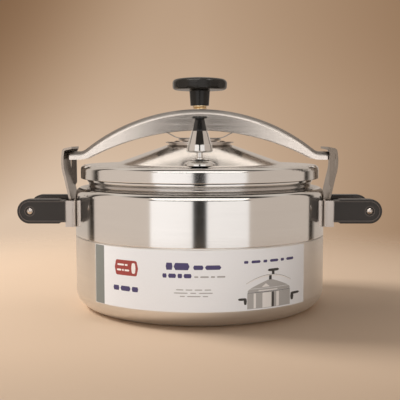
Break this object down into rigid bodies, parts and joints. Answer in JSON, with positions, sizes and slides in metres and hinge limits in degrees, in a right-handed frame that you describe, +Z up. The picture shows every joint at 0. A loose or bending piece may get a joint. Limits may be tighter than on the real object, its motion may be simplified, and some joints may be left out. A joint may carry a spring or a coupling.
{
  "type": "stovetop pressure cooker",
  "caption": "Wide stovetop pressure cooker with a clamped lid: a bowed arch held by side hooks, a screw knob, a steam weight and black side handles.",
  "frame": {"origin": "middle of the pot's flat base, on the surface it stands on", "axes": "+Z up; +X towards the right side handle; -Y towards the front, where the steam weight is"},
  "size_m": [0.402, 0.2822, 0.2568],
  "materials": {
    "polished_aluminium": "polished",
    "pressed_steel": "satin brushed",
    "fastener_steel": "bright",
    "spring_steel": "dull",
    "chromed_brass": "polished chrome",
    "brass": "machined",
    "black_bakelite": "moulded, satin",
    "black_plastic": "glossy",
    "seal_rubber": "matte",
    "label_paper": "printed, satin"
  },
  "bodies": {
    "pot": {"pot_shell": "polished_aluminium", "label_sticker": "label_paper", "hook_left": "pressed_steel", "hook_right": "pressed_steel", "handle_bracket_left": "pressed_steel", "handle_bracket_right": "pressed_steel", "hook_rivets": "polished_aluminium", "handle_arm_left_front": "black_bakelite", "handle_arm_left_rear": "black_bakelite", "handle_arm_right_front": "black_bakelite", "handle_arm_right_rear": "black_bakelite", "handle_grip_left": "black_bakelite", "handle_grip_right": "black_bakelite", "handle_bolts": "fastener_steel", "handle_nuts": "fastener_steel"},
    "lid": {"lid_shell": "polished_aluminium", "lid_gasket": "seal_rubber", "thrust_plate": "pressed_steel", "thrust_plate_rivets": "fastener_steel", "vent_nozzle": "chromed_brass", "vent_washer": "chromed_brass", "vent_seal": "seal_rubber", "vent_nut": "fastener_steel", "safety_body": "brass", "safety_seal": "seal_rubber", "safety_nut": "fastener_steel", "safety_cap": "brass", "safety_spring": "fastener_steel"},
    "safety_plunger": {"safety_plunger": "chromed_brass"},
    "weight": {"weight_bell": "chromed_brass", "weight_pin": "fastener_steel", "weight_cap": "black_plastic"},
    "foot": {"pressure_foot": "pressed_steel", "leaf_spring": "spring_steel"},
    "screw": {"clamp_screw": "brass", "foot_clip": "spring_steel", "knob": "black_bakelite"},
    "arch": {"arch_bridge": "pressed_steel", "spindle_nut": "brass"}
  },
  "joints": [
    {"name": "lid_lift", "type": "slide", "parent": "pot", "child": "lid", "axis": [0, 0, 1], "range_m": [0, 0.002]},
    {"name": "safety_pop", "type": "slide", "parent": "lid", "child": "safety_plunger", "axis": [0, 0, 1], "range_m": [0, 0.0025], "stiffness_N_per_m": 300, "springref_m": -0.004, "deforming": ["safety_spring"]},
    {"name": "weight_lift", "type": "slide", "parent": "lid", "child": "weight", "axis": [0, 0, 1], "range_m": [0, 0.03]},
    {"name": "arch_swing", "type": "hinge", "parent": "lid", "child": "foot", "pos_m": [0, 0, 0.183], "axis": [0, 0, 1], "range_deg": [0, 65]},
    {"name": "screw_turn", "type": "hinge", "parent": "foot", "child": "screw", "pos_m": [0, 0, 0.2], "axis": [0, 0, 1], "range_deg": [-121, 361]},
    {"name": "arch_travel", "type": "slide", "parent": "foot", "child": "arch", "axis": [0, 0, 1], "range_m": [-0.003, 0.001], "deforming": ["leaf_spring"]}
  ],
  "couplings": [
    {"joint": "screw_turn", "follows": "arch_travel", "rad_per_m": -2094.4}
  ]
}
